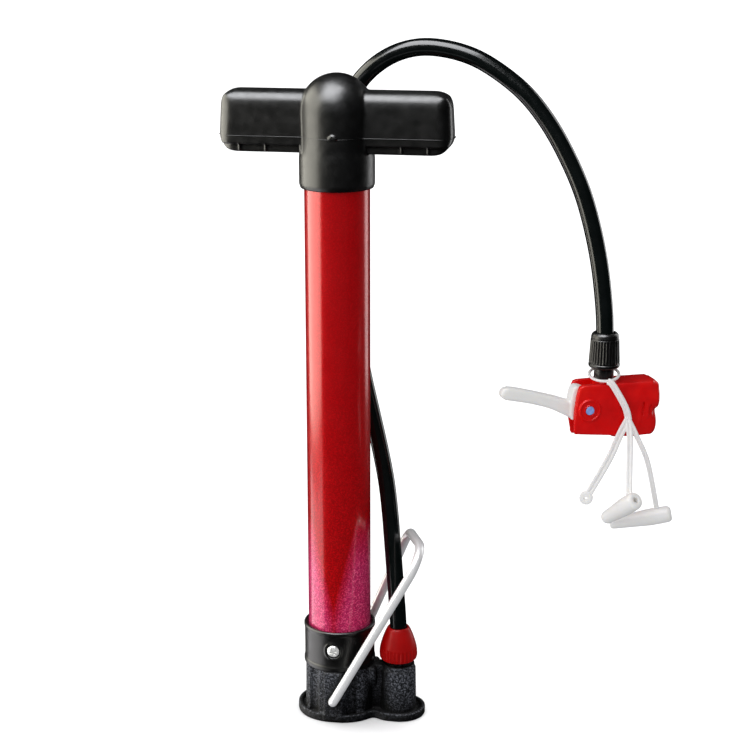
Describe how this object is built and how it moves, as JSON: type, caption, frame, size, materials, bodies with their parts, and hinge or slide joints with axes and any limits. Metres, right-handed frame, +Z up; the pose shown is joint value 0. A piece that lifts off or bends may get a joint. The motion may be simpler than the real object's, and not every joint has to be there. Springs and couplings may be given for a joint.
{
  "type": "floor bike pump",
  "caption": "Floor pump for bicycle tyres: T handle, red steel barrel, fold-down wire foot peg and an arched hose with a lever-locked twin-valve head.",
  "frame": {"origin": "where the barrel's axis meets the floor, on the underside of the base", "axes": "+Z up the barrel's axis, +X from the barrel towards the hose port, -Y the front"},
  "size_m": [0.2455, 0.0584, 0.3771],
  "materials": {
    "charcoal_plastic": "coarse spark texture",
    "black_plastic": "satin",
    "red_metallic": "candy red with fine flake under clear coat",
    "bright_steel": "bright zinc plate",
    "plated_wire": "white nickel plate",
    "brass": "machined",
    "red_plastic": "gloss moulding",
    "hose_rubber": "gloss",
    "black_rubber": "matte",
    "ivory_plastic": "natural",
    "milky_plastic": "milky, slightly see-through",
    "blue_plastic": "gloss"
  },
  "bodies": {
    "pump": {"base": "charcoal_plastic", "channel_cover": "charcoal_plastic", "valve_seat": "brass", "check_spring": "bright_steel", "barrel_gasket": "black_rubber", "barrel_collar": "black_plastic", "collar_screws": "bright_steel", "barrel": "red_metallic", "barrel_cap": "black_plastic", "hose_barb": "brass", "hose_nut": "red_plastic", "hose": "hose_rubber", "head_barb": "brass", "head_nut": "black_plastic", "head_neck": "black_plastic", "head_body": "red_plastic", "head_cap": "red_plastic", "schrader_grommet": "black_rubber", "presta_grommet": "black_rubber", "lever_pin": "blue_plastic", "adapter_lanyard": "milky_plastic", "cone_nozzle": "milky_plastic", "ball_nozzle": "milky_plastic"},
    "plunger": {"piston": "ivory_plastic", "cup_seal": "black_rubber", "seal_washer": "bright_steel"},
    "rod_and_handle": {"piston_rod": "bright_steel", "piston_nut": "bright_steel", "handle": "black_plastic", "handle_nut": "bright_steel"},
    "peg": {"foot_peg": "plated_wire"},
    "clamp_lever": {"lever": "milky_plastic"},
    "clamp": {"clamp_plunger": "ivory_plastic"},
    "valve_ball": {"check_ball": "bright_steel"}
  },
  "joints": [
    {"name": "stroke", "type": "slide", "parent": "pump", "child": "plunger", "axis": [0, 0, 1], "range_m": [0, 0.22]},
    {"name": "handle_turn", "type": "hinge", "parent": "plunger", "child": "rod_and_handle", "pos_m": [0, 0, 0.3], "axis": [0, 0, 1], "range_deg": [-25, 3]},
    {"name": "peg_fold", "type": "hinge", "parent": "pump", "child": "peg", "pos_m": [0, 0, 0.013], "axis": [0, 1, 0], "range_deg": [-2, 66]},
    {"name": "lever_swing", "type": "hinge", "parent": "pump", "child": "clamp_lever", "pos_m": [0.13382, 0.00429, 0.1858], "axis": [0.3746, -0.9272, 0], "range_deg": [0, 80]},
    {"name": "clamp_travel", "type": "slide", "parent": "pump", "child": "clamp", "axis": [0.9272, 0.3746, 0], "range_m": [0, 0.0015]},
    {"name": "check_lift", "type": "slide", "parent": "pump", "child": "valve_ball", "axis": [0, 0, 1], "range_m": [0, 0.0015], "stiffness_N_per_m": 50, "springref_m": -0.002, "deforming": ["check_spring"]}
  ],
  "couplings": [
    {"joint": "clamp_travel", "follows": "lever_swing", "m_per_rad": 0.00107}
  ]
}
